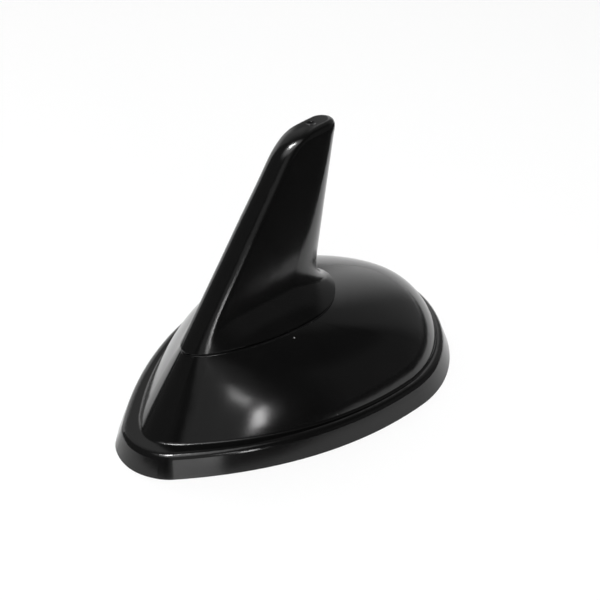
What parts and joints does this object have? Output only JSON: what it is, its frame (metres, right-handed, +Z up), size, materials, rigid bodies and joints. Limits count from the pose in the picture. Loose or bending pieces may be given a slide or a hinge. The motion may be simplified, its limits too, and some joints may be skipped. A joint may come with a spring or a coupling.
{
  "type": "shark fin aerial",
  "caption": "Glossy roof aerial: a leaning blunt-nosed fin on a leaf-shaped dome with a flared rim, closed below by a cast plate and a rubber pad.",
  "frame": {"origin": "on the roof plane, in the middle of the rim's length and width, on the plane of symmetry", "axes": "+X from the nose to the tail, +Y to the side, +Z up out of the roof"},
  "size_m": [0.13, 0.0884, 0.0864],
  "materials": {
    "cover_gloss": "polished black moulding",
    "plate_cast": "die-cast, fine-blasted",
    "pad_rubber": "matt moulded rubber",
    "screw_steel": "zinc-plated",
    "bush_brass": "turned brass",
    "board_laminate": "green solder resist on glass laminate",
    "chip_black": "moulded chip packages",
    "can_tin": "tinned sheet",
    "patch_ceramic": "fired ceramic tile",
    "carrier_plastic": "natural moulded plastic",
    "contact_metal": "tinned brass sheet",
    "coil_copper": null,
    "foam_grey": "open-cell foam"
  },
  "bodies": {
    "root": {"fin_cover": "cover_gloss", "dome_cover": "cover_gloss", "fin_seal": "pad_rubber", "base_plate": "plate_cast", "base_gasket": "pad_rubber", "cover_seal": "pad_rubber", "cover_screws": "screw_steel", "threaded_bush": "bush_brass", "cable_grommet": "pad_rubber", "circuit_board": "board_laminate", "board_screws": "screw_steel", "board_chips": "chip_black", "shield_can": "can_tin", "coax_sockets": "contact_metal", "satellite_patch": "patch_ceramic", "patch_pin": "contact_metal", "mast_carrier": "carrier_plastic", "mast_element": "contact_metal", "coil_former": "carrier_plastic", "loading_coil": "coil_copper", "feed_clip": "contact_metal", "foam_pad": "foam_grey"}
  },
  "joints": []
}
